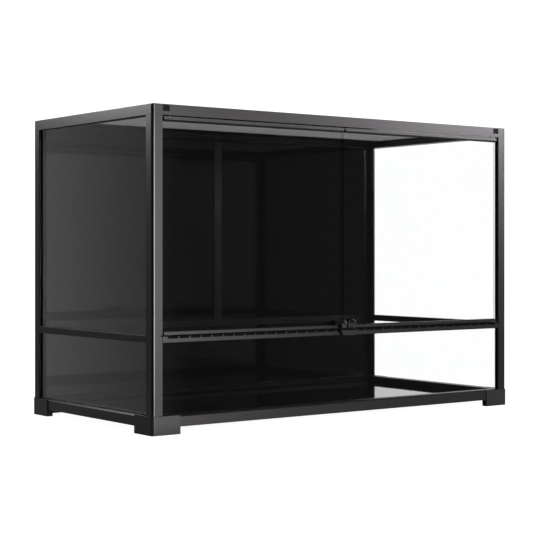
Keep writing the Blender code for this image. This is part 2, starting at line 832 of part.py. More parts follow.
def build_lock_case(plastic):
    """Round housing on the right door: bore for the barrel in front, pocket for the cam behind."""
    back = STRIP_SETBACK - SEAT
    outline = clipped_disc(CASE_RADIUS, STRIP_FOOT_Z)
    case = add_solid("lock_case", front_sweep(outline, -CASE_PROUD, back), plastic, smooth=True)
    over_strip = clipped_disc(CASE_RADIUS, STRIP_FOOT_Z + STRIP_HEIGHT + SEAT)
    heel = front_sweep(over_strip, back - WALL, DOOR_SETBACK - SEAT)
    combine(case, add_guide("lock_heel", heel), "UNION")
    pocket = lock_cylinder(POCKET_RADIUS, POCKET_BACK, back + SEAT)
    combine(case, add_guide("lock_pocket", pocket), "DIFFERENCE")
    bore = lock_cylinder(BARREL_RADIUS + BARREL_PLAY, -CASE_PROUD - WALL, POCKET_BACK + SEAT)
    combine(case, add_guide("lock_bore", bore), "DIFFERENCE")
    return case


def build_lock_barrel(steel):
    """Barrel with its keyway in front, a stub for the cam behind and a hole for the cam's screw."""
    origin = face_point("front", LOCK_X, -CASE_PROUD - BARREL_PROUD, LOCK_Z)
    length = BARREL_PROUD + CASE_WALL
    stub_end = length + SEAT + CAM_THICKNESS - SEAT / 3
    hole = SCREW_RADIUS + SEAT
    hole_end = stub_end - SCREW_LENGTH
    profile = [
        (0, 0),
        (BARREL_RADIUS - BARREL_CHAMFER, 0),
        (BARREL_RADIUS, BARREL_CHAMFER),
        (BARREL_RADIUS, length),
        (STUB_RADIUS, length),
        (STUB_RADIUS, stub_end),
        (hole, stub_end),
        (hole, hole_end),
        (0, hole_end),
    ]
    barrel = add_solid("lock_barrel", turned(profile, origin, Y_AXIS, 48), steel, smooth=True)
    low, high = side_box(
        "front",
        (LOCK_X - KEYWAY_WIDTH / 2, LOCK_X + KEYWAY_WIDTH / 2),
        (-CASE_PROUD - BARREL_PROUD - WALL, -CASE_PROUD - BARREL_PROUD + KEYWAY_DEPTH),
        (LOCK_Z - KEYWAY_LENGTH / 2, LOCK_Z + KEYWAY_LENGTH / 2),
    )
    combine(barrel, add_guide("keyway", box(low, high)), "DIFFERENCE")
    return barrel


def build_lock_cam(steel):
    """Flat cam with a round hub end and a round tip, pointing along the door while unlocked."""
    half = CAM_WIDTH / 2
    tip = CAM_LENGTH - half
    steps = 12
    outline = []
    for i in range(steps + 1):
        angle = math.pi / 2 + math.pi * i / steps
        outline.append((LOCK_X + half * 1.3 * math.cos(angle), LOCK_Z + half * 1.3 * math.sin(angle)))
    for i in range(steps + 1):
        angle = -math.pi / 2 + math.pi * i / steps
        outline.append((LOCK_X + tip + half * math.cos(angle), LOCK_Z + half * math.sin(angle)))
    cam = add_solid("lock_cam", front_sweep(outline, CAM_FRONT, CAM_BACK), steel, smooth=True)
    hole = lock_cylinder(STUB_RADIUS + SEAT, CAM_FRONT - SEAT, CAM_BACK + SEAT, 32)
    combine(cam, add_guide("cam_hole", hole), "DIFFERENCE")
    return cam


def build_cam_screw(steel):
    origin = face_point("front", LOCK_X, CAM_BACK + SEAT + SCREW_HEAD, LOCK_Z)
    shank_end = SCREW_HEAD + SCREW_LENGTH - SEAT
    profile = [
        (0, 0),
        (SCREW_HEAD_RADIUS - EDGE, 0),
        (SCREW_HEAD_RADIUS, SCREW_HEAD / 2),
        (SCREW_HEAD_RADIUS, SCREW_HEAD),
        (SCREW_RADIUS, SCREW_HEAD),
        (SCREW_RADIUS, shank_end),
        (0, shank_end),
    ]
    return add_solid("lock_cam_screw", turned(profile, origin, -Y_AXIS, 24), steel, smooth=True)


def build_lock_keeper(aluminium):
    """Plate on the front middle rail with a pocket, open at the top, that the cam turns down into."""
    top = MID_TOP - KEEPER_DROP
    arc_steps = 6
    outline = [(KEEPER_RIGHT, top), (KEEPER_LEFT, top)]
    for i in range(arc_steps + 1):
        angle = math.pi + math.pi / 2 * i / arc_steps
        outline.append(
            (
                KEEPER_LEFT + KEEPER_ROUND_LEFT * (1 + math.cos(angle)),
                MID_Z + KEEPER_ROUND_LEFT * (1 + math.sin(angle)),
            )
        )
    for i in range(arc_steps + 1):
        angle = -math.pi / 2 + math.pi / 2 * i / arc_steps
        outline.append(
            (
                KEEPER_RIGHT - KEEPER_ROUND_RIGHT * (1 - math.cos(angle)),
                MID_Z + KEEPER_ROUND_RIGHT * (1 + math.sin(angle)),
            )
        )
    plate = front_sweep(outline, -SEAT - KEEPER_THICKNESS, -SEAT)
    keeper = add_solid("lock_keeper", plate, aluminium)
    reach = math.sqrt(CAM_LENGTH**2 - (LOCK_Z - top) ** 2)
    low, high = side_box(
        "front",
        (LOCK_X - CAM_WIDTH / 2 - SEAT, LOCK_X + reach + SEAT),
        (CAM_FRONT - SEAT, CAM_BACK + SEAT),
        (top - KEEPER_REACH, top + SEAT),
    )
    combine(keeper, add_guide("keeper_pocket", box(low, high)), "DIFFERENCE")


def build_pull(plastic):
    """Pull at the left door's free end: a bar over the strip and a leg down in front of it."""
    bar_low, bar_high = side_box(
        "front",
        (PULL_LEFT, PULL_RIGHT),
        (-PULL_PROUD, DOOR_SETBACK - SEAT),
        (STRIP_FOOT_Z + STRIP_HEIGHT + SEAT, STRIP_FOOT_Z + STRIP_HEIGHT + SEAT + PULL_HEIGHT),
    )
    pull = add_solid("left_door_pull", box(bar_low, bar_high), plastic, smooth=True)
    leg_low, leg_high = side_box(
        "front",
        (PULL_LEG_LEFT, PULL_RIGHT),
        (-PULL_PROUD, STRIP_SETBACK - SEAT),
        (STRIP_FOOT_Z, STRIP_FOOT_Z + STRIP_HEIGHT + WALL),
    )
    combine(pull, add_guide("pull_leg", box(leg_low, leg_high)), "UNION")
    bevel = pull.modifiers.new("soft_edges", "BEVEL")
    bevel.width = PULL_ROUND
    bevel.segments = 2
    bevel.limit_method = "ANGLE"
    return pull


def lid_section(side):
    """Lid bar: a plain bar with a slot in its inner face that grips the mesh."""
    slot_low = MESH_Z - SEAT - LID_Z
    slot_high = MESH_Z + MESH_THICKNESS + SEAT - LID_Z
    slot_floor = LID_INNER - MESH_GRIP
    return [
        [
            (LID_OUTER, 0),
            (LID_INNER, 0),
            (LID_INNER, slot_low),
            (slot_floor, slot_low),
            (slot_floor, slot_high),
            (LID_INNER, slot_high),
            (LID_INNER, LID_HEIGHT),
            (LID_OUTER, LID_HEIGHT),
        ]
    ]


def build_lid(aluminium, steel):
    """Four bars round the mesh; the back one carries a wide plate under the mesh."""
    pieces = []
    bars = {}
    for side in OUTWARD:
        bar = mitred_rail(side, lid_section(side), LID_Z, False)
        bars[side] = add_solid(f"lid_bar_{side}", bar, aluminium)
        pieces.append(bars[side])
    pockets = bmesh.new()
    for end in (-1, 1):
        centre = end * (WIDTH / 2 - BOLT_INSET)
        half = BOLT_STEM_WIDTH / 2 + SEAT
        low, high = side_box(
            "front",
            (centre - half, centre + half),
            (LID_OUTER - SEAT, LID_OUTER + BOLT_POCKET),
            (BOLT_Z - BOLT_STEM_HEIGHT / 2 - SEAT, BOLT_Z + BOLT_STEM_HEIGHT / 2 + SEAT),
        )
        add_box(pockets, low, high)
    combine(bars["front"], add_guide("lid_pockets", pockets), "DIFFERENCE")
    plate_top = MESH_Z - SEAT - PLATE_PLAY
    low, high = side_box(
        "back",
        (LID_INNER + SEAT - WIDTH / 2, WIDTH / 2 - LID_INNER - SEAT),
        (LID_INNER - PLATE_ROOT, PLATE_REACH),
        (plate_top - PLATE_THICKNESS, plate_top),
    )
    combine(bars["back"], add_guide("lid_plate", box(low, high)), "UNION")
    pieces.append(add_solid("lid_screen", lid_mesh(), steel))
    return pieces


def mesh_lines(half, gaps):
    """Edges of the strands across one direction, from border to border."""
    clear = 2 * (half - MESH_BORDER)
    opening = (clear - (gaps - 1) * MESH_STRAND) / gaps
    lines = [-half]
    place = -half + MESH_BORDER
    for _ in range(gaps):
        lines.append(place)
        lines.append(place + opening)
        place += opening + MESH_STRAND
    lines.append(half)
    return lines


def lid_mesh():
    """Flat mesh: every cell of a grid but the gaps, raised to the sheet's thickness."""
    lines_x = mesh_lines(WIDTH / 2 - MESH_EDGE, MESH_GAPS_X)
    lines_y = mesh_lines(DEPTH / 2 - MESH_EDGE, MESH_GAPS_Y)
    bm = bmesh.new()
    grid = [[bm.verts.new((x, y, MESH_Z)) for y in lines_y] for x in lines_x]
    for i in range(len(lines_x) - 1):
        for j in range(len(lines_y) - 1):
            if i % 2 and j % 2:
                continue
            bm.faces.new((grid[i][j], grid[i + 1][j], grid[i + 1][j + 1], grid[i][j + 1]))
    raised = bmesh.ops.extrude_face_region(bm, geom=bm.faces)["geom"]
    top = [part for part in raised if isinstance(part, bmesh.types.BMVert)]
    bmesh.ops.translate(bm, verts=top, vec=Z_AXIS * MESH_THICKNESS)
    return bm


def build_lid_bolt(end, plastic, top_front):
    """Push bolt: a square head in the rail's window and a stem that reaches for the lid."""
    side = door_side(end)
    centre = end * (WIDTH / 2 - BOLT_INSET)
    parts = (
        (BOLT_WIDTH, BOLT_HEIGHT, -BOLT_PROUD, BOLT_HEAD),
        (BOLT_STEM_WIDTH, BOLT_STEM_HEIGHT, BOLT_HEAD - WALL, BOLT_END),
    )
    shapes = []
    for width, height, front, back in parts:
        low, high = side_box(
            "front",
            (centre - width / 2, centre + width / 2),
            (front, back),
            (BOLT_Z - height / 2, BOLT_Z + height / 2),
        )
        shapes.append(box(low, high))
    bolt = add_solid(f"lid_bolt_{side}", shapes[0], plastic)
    combine(bolt, add_guide(f"bolt_stem_{side}", shapes[1]), "UNION")

    windows = bmesh.new()
    openings = (
        (BOLT_WIDTH, BOLT_HEIGHT, -WALL, WALL + SEAT),
        (BOLT_STEM_WIDTH, BOLT_STEM_HEIGHT, REBATE - WALL - SEAT, REBATE + SEAT),
    )
    for width, height, front, back in openings:
        low, high = side_box(
            "front",
            (centre - width / 2 - SEAT, centre + width / 2 + SEAT),
            (front, back),
            (BOLT_Z - height / 2 - SEAT, BOLT_Z + height / 2 + SEAT),
        )
        add_box(windows, low, high)
    combine(top_front, add_guide(f"bolt_windows_{side}", windows), "DIFFERENCE")
    return bolt


def hang_on(name, place, pieces):
    """An empty on the joint's axis that carries the pieces of one moving body."""
    axis = bpy.data.objects.new(name, None)
    axis.location = place
    bpy.context.scene.collection.objects.link(axis)
    bpy.context.view_layer.update()
    for piece in pieces:
        piece.parent = axis
        piece.matrix_parent_inverse = axis.matrix_world.inverted()
    return axis


def build():
    clear_scene()
    frame_black = make_material("frame_black", (0.045, 0.043, 0.046), 0.38, 0.6)
    plastic_black = make_material("plastic_black", (0.02, 0.02, 0.021), 0.5)
    clear_glass = make_material("clear_glass", (0.85, 0.9, 0.88), 0.03, 0.0, 0.3)
    gloss_black = make_material("gloss_black", (0.008, 0.008, 0.009), 0.08)
    mesh_steel = make_material("mesh_steel", (0.12, 0.12, 0.125), 0.45, 0.8)
    bright_steel = make_material("bright_steel", (0.62, 0.62, 0.63), 0.2, 1.0)

    build_feet(plastic_black)
    build_base_rails(frame_black)
    build_posts(frame_black)
    top_rails = build_top_rails(frame_black)
    build_corner_keys(plastic_black)
    mid_rails = build_mid_rails(frame_black)
    build_vent_screen(mesh_steel)
    build_panels(clear_glass, gloss_black)
    build_back_joint(frame_black)
    build_door_stop(plastic_black)
    build_lock_keeper(frame_black)

    doors = {}
    for end in (-1, 1):
        doors[end] = build_door(
            end, frame_black, clear_glass, bright_steel, mid_rails["front"], top_rails["front"]
        )
    doors[-1].append(build_pull(plastic_black))
    doors[1].append(build_lock_case(plastic_black))
    lock_pieces = [
        build_lock_barrel(bright_steel),
        build_lock_cam(bright_steel),
        build_cam_screw(bright_steel),
    ]
    for end in (-1, 1):
        door_axis = hang_on(f"{door_side(end)}_door_axis", (end * PIVOT_X, PIVOT_Y, 0), doors[end])
    lock_axis = hang_on("lock_axis", face_point("front", LOCK_X, 0, LOCK_Z), lock_pieces)
    lock_axis.parent = door_axis
    lock_axis.matrix_parent_inverse = door_axis.matrix_world.inverted()
    hang_on("lid_slide", Z_AXIS * LID_Z, build_lid(frame_black, mesh_steel))
    for end in (-1, 1):
        bolt = build_lid_bolt(end, plastic_black, top_rails["front"])
        place = face_point("front", end * (WIDTH / 2 - BOLT_INSET), 0, BOLT_Z)
        hang_on(f"lid_bolt_axis_{door_side(end)}", place, [bolt])


build()
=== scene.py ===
"""Looks of the front-opening glass terrarium: finishes, wire mesh, seals, lock trim, light and camera.

Metres in the CAD frame: +X to the right, -Y towards the doors, +Z up.
"""

import math

import bmesh
import bpy
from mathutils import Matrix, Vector


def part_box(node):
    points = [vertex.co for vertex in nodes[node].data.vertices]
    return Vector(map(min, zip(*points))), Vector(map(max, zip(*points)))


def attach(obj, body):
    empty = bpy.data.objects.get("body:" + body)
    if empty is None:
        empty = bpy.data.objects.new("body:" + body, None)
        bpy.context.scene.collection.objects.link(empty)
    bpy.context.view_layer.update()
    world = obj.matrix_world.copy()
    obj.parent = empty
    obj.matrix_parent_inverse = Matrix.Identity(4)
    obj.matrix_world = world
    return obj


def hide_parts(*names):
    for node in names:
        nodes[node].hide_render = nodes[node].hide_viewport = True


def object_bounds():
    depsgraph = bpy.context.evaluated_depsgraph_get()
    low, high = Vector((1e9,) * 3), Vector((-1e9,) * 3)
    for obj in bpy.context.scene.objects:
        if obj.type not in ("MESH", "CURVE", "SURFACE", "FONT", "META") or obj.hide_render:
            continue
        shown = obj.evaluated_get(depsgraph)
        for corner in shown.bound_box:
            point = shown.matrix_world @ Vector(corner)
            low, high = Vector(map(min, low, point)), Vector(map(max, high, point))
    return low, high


# Camera, found from the frame's edges in the photograph of 533 by 533 pixels
CAMERA_PLACE = (-1.860, -2.450, 0.3355)
CAMERA_YAW = -36.8
FOCAL_PIXELS = 1442.0
IMAGE_PIXELS = 533.0
HORIZON_PIXEL = 251.75
SENSOR_WIDTH = 36.0
CLIP_NEAR = 0.05
CLIP_FAR = 50.0

# Frame metal: its draw lines, and the strip along the upright corner edges that is polished
LINE_STRETCH = 0.012
LINE_SCALE = 1500.0
CORNER_STRIP = 0.0055
CORNER_ROUGHNESS = 0.19

# Clear glass: the share of a lamp's light that one face lets through, and how solid a cut edge looks
GLASS_INDEX = 1.45
GLASS_SHEEN = 0.01
LAMP_PASS = 0.15
EDGE_SHADE = 0.35

# Lid mesh, with the shifts of its layers and hem from the middle plane in wire radii
WIRE_PITCH = 0.0022
WIRE_RADIUS = 0.00036
LAYER_SHIFT = 0.8
HEM_SHIFT = 2.2
HEM_WIDTH = 0.0032
HEM_THICKNESS = 0.0004

# Sealant beads: their widths, how far their faces dip as a share of that, and the steps across a face
POST_BEAD = 0.0012
FLOOR_BEAD = 0.003
BEAD_HOLLOW = 0.27
BEAD_STEPS = 5

# Rubber lips at the doors' heads, chamfered so that the front keeps a share of the height
SEAL_INSET = 0.0006
SEAL_HEIGHT = 0.0024
SEAL_FRONT_SHARE = 0.7

# Matt black strips on the middle rail and the keeper, painted shade for the dark gap under the doors; the lip
# over the rail's top stops short of the rail's ends by the lip's end length
SILL_STRIP_THICKNESS = 0.00025
GAP_SHADE_HEIGHT = 0.0021
SILL_LIP_DEPTH = 0.009
SILL_STRIP_GAP = 0.001
SILL_LIP_END = 0.027
KEEPER_SHADE_BAND = 0.0032

# Chrome bezel of the lock; its shoulders have a share of its rise, and its arcs are in degrees
BEZEL_OUTER = 0.0114
BEZEL_INNER = 0.0100
BEZEL_RISE = 0.0008
BEZEL_CHAMFER = 0.0003
BEZEL_SHOULDER_SHARE = 0.7
BEZEL_ARCS = ((24.0, 84.0), (120.0, 150.0))
BEZEL_STEPS = 20

# Studded pads of lock and pull; the free border and half a stud's top are in cells
PAD_CELL = 0.0016
PAD_RISE = 0.0005
PAD_TOP = 0.0033
PAD_MARGIN = 0.0007
PAD_BORDER = 0.6
STUD_TOP = 0.3

# Tick on the pull: X of its corners, and their height above the lock's axis
TICK_WIDTH = 0.0012
TICK_RISE = 0.0007
TICK_CORNERS = ((-0.0092, 0.0104), (-0.0056, 0.0046), (-0.0030, 0.0061))

# Ribs on the lid bolts
GRIP_PITCH = 0.0022
GRIP_HALF = 0.0005
GRIP_TOP_HALF = 0.0002
GRIP_RISE = 0.0004
GRIP_INSET = 0.003

# Studio
FLOOR_MARGIN = 0.19
FLOOR_DROP = 0.0005
FLOOR_GREY = 0.22
FLOOR_GLOW = 0.97
BACKDROP = 1.2
MATT_LEVEL = 0.55

# Edges that turn more than this many degrees stay sharp on smooth pieces
SHARP_ANGLE = 40

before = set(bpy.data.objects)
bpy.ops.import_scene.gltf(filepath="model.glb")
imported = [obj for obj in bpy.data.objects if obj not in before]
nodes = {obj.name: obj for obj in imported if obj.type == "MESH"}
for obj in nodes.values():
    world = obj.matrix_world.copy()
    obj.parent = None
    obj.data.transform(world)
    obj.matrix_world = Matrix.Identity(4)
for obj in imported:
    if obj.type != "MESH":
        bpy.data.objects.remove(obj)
cad_low, cad_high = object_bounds()


def grey(level):
    """The neutral colour of one level."""
    return (level, level, level)


def new_material(name):
    """A material with its node tree and its main shader."""
    material = bpy.data.materials.new(name)
    material.use_nodes = True
    tree = material.node_tree
    return material, tree, tree.nodes["Principled BSDF"]


def add_node(tree, kind, **settings):
    """Adds a node and sets its properties, or its inputs where a name starts with in_."""
    node = tree.nodes.new(kind)
    for key, value in settings.items():
        if key.startswith("in_"):
            node.inputs[key[3:].replace("_", " ")].default_value = value
        else:
            setattr(node, key, value)
    return node


def stretched_noise(tree, stretch, scale, detail=4.0):
    """Noise in the part's frame, drawn out along the axes whose stretch is small."""
    place = add_node(tree, "ShaderNodeTexCoord")
    mapping = add_node(tree, "ShaderNodeMapping")
    mapping.inputs["Scale"].default_value = stretch
    tree.links.new(place.outputs["Object"], mapping.inputs["Vector"])
    noise = add_node(tree, "ShaderNodeTexNoise")
    noise.inputs["Scale"].default_value = scale
    noise.inputs["Detail"].default_value = detail
    tree.links.new(mapping.outputs["Vector"], noise.inputs["Vector"])
    return noise


def ramp(tree, value, low, high, positions=(0.3, 0.7)):
    """Maps a value to the colours from low to high, which it reaches at the two positions."""
    node = tree.nodes.new("ShaderNodeValToRGB")
    node.color_ramp.elements[0].position = positions[0]
    node.color_ramp.elements[0].color = (*low, 1.0)
    node.color_ramp.elements[1].position = positions[1]
    node.color_ramp.elements[1].color = (*high, 1.0)
    tree.links.new(value, node.inputs["Fac"])
    return node.outputs["Color"]


def spread(tree, value, low, high):
    """Maps the middle half of a noise's range to the numbers from low to high."""
    node = tree.nodes.new("ShaderNodeMapRange")
    node.inputs["From Min"].default_value = 0.25
    node.inputs["From Max"].default_value = 0.75
    node.inputs["To Min"].default_value = low
    node.inputs["To Max"].default_value = high
    tree.links.new(value, node.inputs["Value"])
    return node.outputs["Result"]


def add_bump(tree, shader, height, strength, distance):
    """Roughens a shader's surface by a height."""
    bump = tree.nodes.new("ShaderNodeBump")
    bump.inputs["Strength"].default_value = strength
    bump.inputs["Distance"].default_value = distance
    tree.links.new(height, bump.inputs["Height"])
    tree.links.new(bump.outputs["Normal"], shader.inputs["Normal"])


def mix_shaders(tree, factor, first, second):
    """Mixes two shaders by a number or by another node's output."""
    node = tree.nodes.new("ShaderNodeMixShader")
    if isinstance(factor, float):
        node.inputs["Fac"].default_value = factor
    else:
        tree.links.new(factor, node.inputs["Fac"])
    tree.links.new(first, node.inputs[1])
    tree.links.new(second, node.inputs[2])
    return node.outputs["Shader"]


def corner_mask(tree):
    """One within a strip's width of the frame's upright corner edges, elsewhere zero."""
    place = add_node(tree, "ShaderNodeTexCoord")
    split = add_node(tree, "ShaderNodeSeparateXYZ")
    tree.links.new(place.outputs["Object"], split.inputs["Vector"])
    both = add_node(tree, "ShaderNodeMath", operation="MULTIPLY")
    for i, axis in enumerate("XY"):
        reach = add_node(tree, "ShaderNodeMath", operation="ABSOLUTE")
        near = add_node(tree, "ShaderNodeMath", operation="GREATER_THAN")
        near.inputs[1].default_value = -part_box("post_front_left")[0][i] - CORNER_STRIP
        tree.links.new(split.outputs[axis], reach.inputs[0])
        tree.links.new(reach.outputs["Value"], near.inputs[0])
        tree.links.new(near.outputs["Value"], both.inputs[i])
    return both.outputs["Value"]


def frame_metal(name, along):
    """Anodised extrusion, satin with faint draw lines along one axis, and polished on its corner edges."""
    stretch = [1.0, 1.0, 1.0]
    stretch[along] = LINE_STRETCH
    material, tree, shader = new_material(name)
    lines = stretched_noise(tree, stretch, LINE_SCALE)
    cloud = stretched_noise(tree, (1.0, 1.0, 1.0), 9.0)
    mix = add_node(tree, "ShaderNodeMix", data_type="FLOAT")
    mix.inputs["Factor"].default_value = 0.4
    tree.links.new(cloud.outputs["Fac"], mix.inputs["A"])
    tree.links.new(lines.outputs["Fac"], mix.inputs["B"])
    colour = ramp(tree, mix.outputs["Result"], (0.0030, 0.0029, 0.0030), (0.0052, 0.0050, 0.0052))
    tree.links.new(colour, shader.inputs["Base Color"])
    roughness = add_node(tree, "ShaderNodeMix", data_type="FLOAT", in_B=CORNER_ROUGHNESS)
    tree.links.new(corner_mask(tree), roughness.inputs["Factor"])
    tree.links.new(spread(tree, lines.outputs["Fac"], 0.31, 0.39), roughness.inputs["A"])
    tree.links.new(roughness.outputs["Result"], shader.inputs["Roughness"])
    add_bump(tree, shader, lines.outputs["Fac"], 0.05, 0.00004)
    shader.inputs["Specular IOR Level"].default_value = 0.5
    shader.inputs["Specular Tint"].default_value = (1.0, 0.93, 1.0, 1.0)
    return material


def moulded_plastic(name, low, high, roughness, specular=0.5):
    """Moulded plastic or rubber with a fine spark-eroded grain."""
    material, tree, shader = new_material(name)
    grain = stretched_noise(tree, (1.0, 1.0, 1.0), 2200.0, 2.0)
    cloud = stretched_noise(tree, (1.0, 1.0, 1.0), 30.0)
    tree.links.new(ramp(tree, cloud.outputs["Fac"], low, high), shader.inputs["Base Color"])
    tree.links.new(
        spread(tree, grain.outputs["Fac"], roughness - 0.05, roughness + 0.05),
        shader.inputs["Roughness"],
    )
    add_bump(tree, shader, grain.outputs["Fac"], 0.15, 0.00005)
    shader.inputs["Specular IOR Level"].default_value = specular
    return material


def black_glass():
    """Glass lacquered black on its far side, with the faintest wiping marks."""
    material, tree, shader = new_material("black_glass")
    wipe = stretched_noise(tree, (1.0, 1.0, 2.5), 14.0, 6.0)
    colour = ramp(tree, wipe.outputs["Fac"], (0.0048, 0.0048, 0.0050), (0.0064, 0.0064, 0.0066))
    tree.links.new(colour, shader.inputs["Base Color"])
    tree.links.new(spread(tree, wipe.outputs["Fac"], 0.03, 0.055), shader.inputs["Roughness"])
    return material


def clear_glass(name, facing_axis):
    """Float glass whose faces look along one axis: see-through, with a sheen and faint cut edges."""
    material, tree, edge = new_material(name)
    dust = stretched_noise(tree, (1.0, 1.0, 1.0), 40.0, 6.0)
    clear = ramp(tree, dust.outputs["Fac"], (0.990, 0.994, 0.992), (0.996, 0.998, 0.997))
    path = add_node(tree, "ShaderNodeLightPath")
    tint = add_node(tree, "ShaderNodeMix", data_type="RGBA")
    tint.inputs["B"].default_value = (*grey(LAMP_PASS), 1.0)
    tree.links.new(path.outputs["Is Shadow Ray"], tint.inputs["Factor"])
    tree.links.new(clear, tint.inputs["A"])
    film = add_node(tree, "ShaderNodeBsdfTransparent")
    tree.links.new(tint.outputs["Result"], film.inputs["Color"])
    sheen = add_node(tree, "ShaderNodeBsdfGlossy", in_Roughness=GLASS_SHEEN)
    sheen.inputs["Color"].default_value = (1.0, 1.0, 1.0, 1.0)
    # Fresnel turns the index over at back faces; it is turned back, since the film bends no light
    geometry = add_node(tree, "ShaderNodeNewGeometry")
    index = add_node(tree, "ShaderNodeMix", data_type="FLOAT", in_A=GLASS_INDEX, in_B=1.0 / GLASS_INDEX)
    fresnel = add_node(tree, "ShaderNodeFresnel")
    tree.links.new(geometry.outputs["Backfacing"], index.inputs["Factor"])
    tree.links.new(index.outputs["Result"], fresnel.inputs["IOR"])
    face = mix_shaders(tree, fresnel.outputs["Fac"], film.outputs["BSDF"], sheen.outputs["BSDF"])

    edge_colour = ramp(tree, dust.outputs["Fac"], (0.006, 0.010, 0.009), (0.012, 0.018, 0.016))
    tree.links.new(edge_colour, edge.inputs["Base Color"])
    edge.inputs["Roughness"].default_value = 0.3
    cut = mix_shaders(tree, EDGE_SHADE, film.outputs["BSDF"], edge.outputs["BSDF"])

    # A cut edge is where the surface doesn't look along that axis
    place = add_node(tree, "ShaderNodeTexCoord")
    split = add_node(tree, "ShaderNodeSeparateXYZ")
    tree.links.new(place.outputs["Normal"], split.inputs["Vector"])
    size = add_node(tree, "ShaderNodeMath", operation="ABSOLUTE")
    tree.links.new(split.outputs[facing_axis], size.inputs[0])
    is_edge = add_node(tree, "ShaderNodeMath", operation="LESS_THAN")
    is_edge.inputs[1].default_value = 0.5
    tree.links.new(size.outputs["Value"], is_edge.inputs[0])
    pane = mix_shaders(tree, is_edge.outputs["Value"], face, cut)
    tree.links.new(pane, tree.nodes["Material Output"].inputs["Surface"])
    return material


def drawn_wire():
    """Powder-coated steel wire, light grey, a little uneven."""
    material, tree, shader = new_material("drawn_wire")
    cloud = stretched_noise(tree, (1.0, 1.0, 1.0), 60.0)
    colour = ramp(tree, cloud.outputs["Fac"], (0.50, 0.50, 0.505), (0.61, 0.61, 0.615))
    tree.links.new(colour, shader.inputs["Base Color"])
    tree.links.new(spread(tree, cloud.outputs["Fac"], 0.38, 0.5), shader.inputs["Roughness"])
    return material


def polished_steel(name, low, high, roughness):
    """Bare, plated or blackened steel, its colour and gloss a little cloudy."""
    material, tree, shader = new_material(name)
    cloud = stretched_noise(tree, (1.0, 1.0, 1.0), 700.0)
    tree.links.new(ramp(tree, cloud.outputs["Fac"], low, high), shader.inputs["Base Color"])
    tree.links.new(
        spread(tree, cloud.outputs["Fac"], roughness * 0.8, roughness * 1.2),
        shader.inputs["Roughness"],
    )
    shader.inputs["Metallic"].default_value = 1.0
    return material


def fine_screen():
    """Perforated vent screen: rows of small holes, drawn as dark dots of painted shade, with a raised web
    between.
    """
    material, tree, shader = new_material("fine_screen")
    place = add_node(tree, "ShaderNodeTexCoord")
    cells = add_node(tree, "ShaderNodeTexVoronoi")
    cells.inputs["Scale"].default_value = 900.0
    cells.inputs["Randomness"].default_value = 0.1
    tree.links.new(place.outputs["Object"], cells.inputs["Vector"])
    # Painted shade: dark dots where the uncut holes would show the dark inside, a lighter web between
    colour = ramp(tree, cells.outputs["Distance"], grey(0.001), grey(0.005), (0.35, 0.5))
    tree.links.new(colour, shader.inputs["Base Color"])
    shader.inputs["Roughness"].default_value = 0.7
    shader.inputs["Specular IOR Level"].default_value = 0.05
    add_bump(tree, shader, cells.outputs["Distance"], 0.4, 0.0002)
    return material


METAL = {
    "x": frame_metal("frame_metal_x", 0),
    "y": frame_metal("frame_metal_y", 1),
    "z": frame_metal("frame_metal_z", 2),
}
PLASTIC = moulded_plastic("moulded_plastic", (0.005, 0.005, 0.0052), (0.009, 0.009, 0.0092), 0.42)
FOOT_PLASTIC = moulded_plastic("foot_plastic", (0.0045, 0.0045, 0.0046), (0.008, 0.008, 0.0082), 0.40)
GLOSS_PLASTIC = moulded_plastic("gloss_plastic", grey(0.003), grey(0.005), 0.12, 0.3)
MATT_PLASTIC = moulded_plastic("matt_plastic", grey(0.002), grey(0.004), 0.6, 0.1)
PAD_PLASTIC = moulded_plastic("pad_plastic", grey(0.006), grey(0.014), 0.45)
SEALANT = moulded_plastic("sealant", grey(0.002), grey(0.004), 0.7, 0.15)
# Matt black of the sill strips, which paint the shade in the gap under the doors
SILL_SHADE_RUBBER = moulded_plastic("sill_shade_rubber", grey(0.0012), grey(0.0025), 0.8, 0.03)
BLACK_GLASS = black_glass()
GLASS_X = clear_glass("clear_glass_x", 0)
GLASS_Y = clear_glass("clear_glass_y", 1)
WIRE = drawn_wire()
CHROME = polished_steel("chrome", (0.42, 0.42, 0.43), (0.52, 0.52, 0.53), 0.34)
STEEL = polished_steel("steel", (0.34, 0.34, 0.345), (0.44, 0.44, 0.445), 0.3)
BLACK_STEEL = polished_steel("black_steel", (0.04, 0.04, 0.041), (0.07, 0.07, 0.071), 0.36)
SCREEN = fine_screen()

SIDE_PANES = tuple(f"{side}_{level}_glass" for side in ("left", "right") for level in ("lower", "upper"))


def material_of(name):
    """Finish of a CAD node, by the words in its name."""
    if name.startswith(("corner_foot", "corner_key")):
        return FOOT_PLASTIC
    if name.startswith("lid_bolt"):
        return MATT_PLASTIC
    if name in ("left_door_pull", "lock_case"):
        return GLOSS_PLASTIC
    if name == "door_stop":
        return PLASTIC
    if name == "lock_barrel" or name.endswith("_pin"):
        return BLACK_STEEL
    if name in ("lock_cam", "lock_cam_screw"):
        return STEEL
    if name.startswith("back_") and "panel" in name or name == "floor_panel":
        return BLACK_GLASS
    if name.endswith("_glass"):
        return GLASS_X if name in SIDE_PANES else GLASS_Y
    if name == "vent_screen":
        return SCREEN
    if name.startswith("post") or name == "back_joint_strip":
        return METAL["z"]
    if name.endswith(("_left", "_right")):
        return METAL["y"]
    return METAL["x"]


# Every CAD node gets its finish
for node_name, node in nodes.items():
    node.data.materials.clear()
    node.data.materials.append(material_of(node_name))


def new_piece(name, bm, material, body, smooth=False):
    """Turns a bmesh into a piece of one material that rides on a body."""
    mesh = bpy.data.meshes.new(name)
    bmesh.ops.recalc_face_normals(bm, faces=bm.faces)
    bm.to_mesh(mesh)
    bm.free()
    mesh.materials.append(material)
    if smooth:
        mesh.shade_smooth()
        mesh.set_sharp_from_angle(angle=math.radians(SHARP_ANGLE))
    piece = bpy.data.objects.new(name, mesh)
    bpy.context.scene.collection.objects.link(piece)
    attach(piece, body)
    return piece


